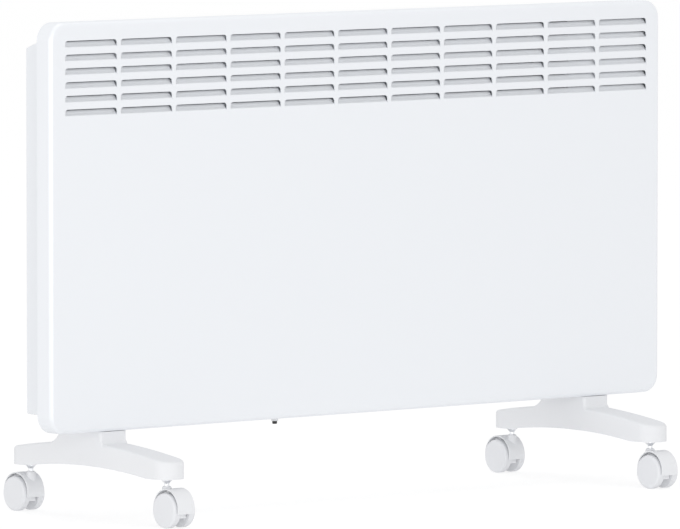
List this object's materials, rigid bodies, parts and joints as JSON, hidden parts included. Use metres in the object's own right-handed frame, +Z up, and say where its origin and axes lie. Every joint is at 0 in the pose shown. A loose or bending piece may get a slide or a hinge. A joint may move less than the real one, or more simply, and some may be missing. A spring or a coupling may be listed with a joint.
{
  "type": "panel convector heater",
  "caption": "Low, wide electric convector with a louvred white sheet-steel front, standing on two feet with twin-wheel swivel casters.",
  "frame": {"origin": "on the floor, below the middle of the two feet", "axes": "+Z up, front towards -Y, +X to the right seen from the front"},
  "size_m": [0.894, 0.3052, 0.549],
  "materials": {
    "white_enamel": "white powder coat, semi-matt",
    "white_plastic": "white moulded plastic, satin",
    "wheel_plastic": "pale grey moulded plastic, satin",
    "black_plastic": "black moulded plastic",
    "key_grey": "grey moulded plastic",
    "zinc_steel": "zinc-plated",
    "element_aluminium": "extruded, dull",
    "ceramic": "off-white ceramic, unglazed",
    "board_green": "green lacquer",
    "display_dark": "dark, polished"
  },
  "bodies": {
    "heater": {"front_cover": "white_enamel", "rear_casing": "white_enamel", "heat_shield": "zinc_steel", "heating_element": "element_aluminium", "element_terminal_left": "ceramic", "element_terminal_right": "ceramic", "element_bracket_left": "zinc_steel", "element_bracket_right": "zinc_steel", "thermal_cutout": "black_plastic", "control_housing": "white_plastic", "control_board": "board_green", "wire_connector": "black_plastic", "control_face": "white_plastic", "display_window": "display_dark", "switch_frame": "black_plastic", "terminal_block": "white_plastic", "cord_gland": "black_plastic", "gland_nut": "black_plastic", "sensor_sleeve": "white_plastic", "air_sensor": "black_plastic", "foot_left": "white_plastic", "foot_right": "white_plastic", "foot_screw_left_front": "zinc_steel", "foot_screw_left_rear": "zinc_steel", "foot_screw_right_front": "zinc_steel", "foot_screw_right_rear": "zinc_steel", "caster_left_front_stem": "zinc_steel", "caster_left_rear_stem": "zinc_steel", "caster_right_front_stem": "zinc_steel", "caster_right_rear_stem": "zinc_steel"},
    "caster_left_front_swivel": {"caster_left_front_hood": "white_plastic", "caster_left_front_axle": "zinc_steel"},
    "caster_left_front_wheel_left": {"caster_left_front_wheel_left": "wheel_plastic"},
    "caster_left_front_wheel_right": {"caster_left_front_wheel_right": "wheel_plastic"},
    "caster_left_rear_swivel": {"caster_left_rear_hood": "white_plastic", "caster_left_rear_axle": "zinc_steel"},
    "caster_left_rear_wheel_left": {"caster_left_rear_wheel_left": "wheel_plastic"},
    "caster_left_rear_wheel_right": {"caster_left_rear_wheel_right": "wheel_plastic"},
    "caster_right_front_swivel": {"caster_right_front_hood": "white_plastic", "caster_right_front_axle": "zinc_steel"},
    "caster_right_front_wheel_left": {"caster_right_front_wheel_left": "wheel_plastic"},
    "caster_right_front_wheel_right": {"caster_right_front_wheel_right": "wheel_plastic"},
    "caster_right_rear_swivel": {"caster_right_rear_hood": "white_plastic", "caster_right_rear_axle": "zinc_steel"},
    "caster_right_rear_wheel_left": {"caster_right_rear_wheel_left": "wheel_plastic"},
    "caster_right_rear_wheel_right": {"caster_right_rear_wheel_right": "wheel_plastic"},
    "button_power": {"button_power": "key_grey"},
    "button_mode": {"button_mode": "key_grey"},
    "button_down": {"button_down": "key_grey"},
    "button_up": {"button_up": "key_grey"},
    "switch_rocker": {"switch_rocker": "black_plastic"}
  },
  "joints": [
    {"name": "caster_left_front_swivel", "type": "hinge", "parent": "heater", "child": "caster_left_front_swivel", "pos_m": [-0.3552, -0.1187, 0.045], "axis": [0, 0, 1], "continuous": true},
    {"name": "caster_left_front_wheel_left_spin", "type": "hinge", "parent": "caster_left_front_swivel", "child": "caster_left_front_wheel_left", "pos_m": [-0.3659, -0.1311, 0.0192], "axis": [1, 0, 0], "continuous": true},
    {"name": "caster_left_front_wheel_right_spin", "type": "hinge", "parent": "caster_left_front_swivel", "child": "caster_left_front_wheel_right", "pos_m": [-0.3445, -0.1311, 0.0192], "axis": [1, 0, 0], "continuous": true},
    {"name": "caster_left_rear_swivel", "type": "hinge", "parent": "heater", "child": "caster_left_rear_swivel", "pos_m": [-0.3552, 0.1187, 0.045], "axis": [0, 0, 1], "continuous": true},
    {"name": "caster_left_rear_wheel_left_spin", "type": "hinge", "parent": "caster_left_rear_swivel", "child": "caster_left_rear_wheel_left", "pos_m": [-0.3659, 0.1311, 0.0192], "axis": [1, 0, 0], "continuous": true},
    {"name": "caster_left_rear_wheel_right_spin", "type": "hinge", "parent": "caster_left_rear_swivel", "child": "caster_left_rear_wheel_right", "pos_m": [-0.3445, 0.1311, 0.0192], "axis": [1, 0, 0], "continuous": true},
    {"name": "caster_right_front_swivel", "type": "hinge", "parent": "heater", "child": "caster_right_front_swivel", "pos_m": [0.3552, -0.1187, 0.045], "axis": [0, 0, 1], "continuous": true},
    {"name": "caster_right_front_wheel_left_spin", "type": "hinge", "parent": "caster_right_front_swivel", "child": "caster_right_front_wheel_left", "pos_m": [0.3445, -0.1311, 0.0192], "axis": [1, 0, 0], "continuous": true},
    {"name": "caster_right_front_wheel_right_spin", "type": "hinge", "parent": "caster_right_front_swivel", "child": "caster_right_front_wheel_right", "pos_m": [0.3659, -0.1311, 0.0192], "axis": [1, 0, 0], "continuous": true},
    {"name": "caster_right_rear_swivel", "type": "hinge", "parent": "heater", "child": "caster_right_rear_swivel", "pos_m": [0.3552, 0.1187, 0.045], "axis": [0, 0, 1], "continuous": true},
    {"name": "caster_right_rear_wheel_left_spin", "type": "hinge", "parent": "caster_right_rear_swivel", "child": "caster_right_rear_wheel_left", "pos_m": [0.3445, 0.1311, 0.0192], "axis": [1, 0, 0], "continuous": true},
    {"name": "caster_right_rear_wheel_right_spin", "type": "hinge", "parent": "caster_right_rear_swivel", "child": "caster_right_rear_wheel_right", "pos_m": [0.3659, 0.1311, 0.0192], "axis": [1, 0, 0], "continuous": true},
    {"name": "button_power_press", "type": "slide", "parent": "heater", "child": "button_power", "axis": [0, 0.3076, 0.9515], "range_m": [-0.0008, 0], "stiffness_N_per_m": 800, "springref_m": 0.0006},
    {"name": "button_mode_press", "type": "slide", "parent": "heater", "child": "button_mode", "axis": [0, 0.3076, 0.9515], "range_m": [-0.0008, 0], "stiffness_N_per_m": 800, "springref_m": 0.0006},
    {"name": "button_down_press", "type": "slide", "parent": "heater", "child": "button_down", "axis": [0, 0.3076, 0.9515], "range_m": [-0.0008, 0], "stiffness_N_per_m": 800, "springref_m": 0.0006},
    {"name": "button_up_press", "type": "slide", "parent": "heater", "child": "button_up", "axis": [0, 0.3076, 0.9515], "range_m": [-0.0008, 0], "stiffness_N_per_m": 800, "springref_m": 0.0006},
    {"name": "switch_rocker_tilt", "type": "hinge", "parent": "heater", "child": "switch_rocker", "pos_m": [0.4249, 0.01475, 0.37965], "axis": [0, 1, 0], "range_deg": [-14, 0]}
  ]
}
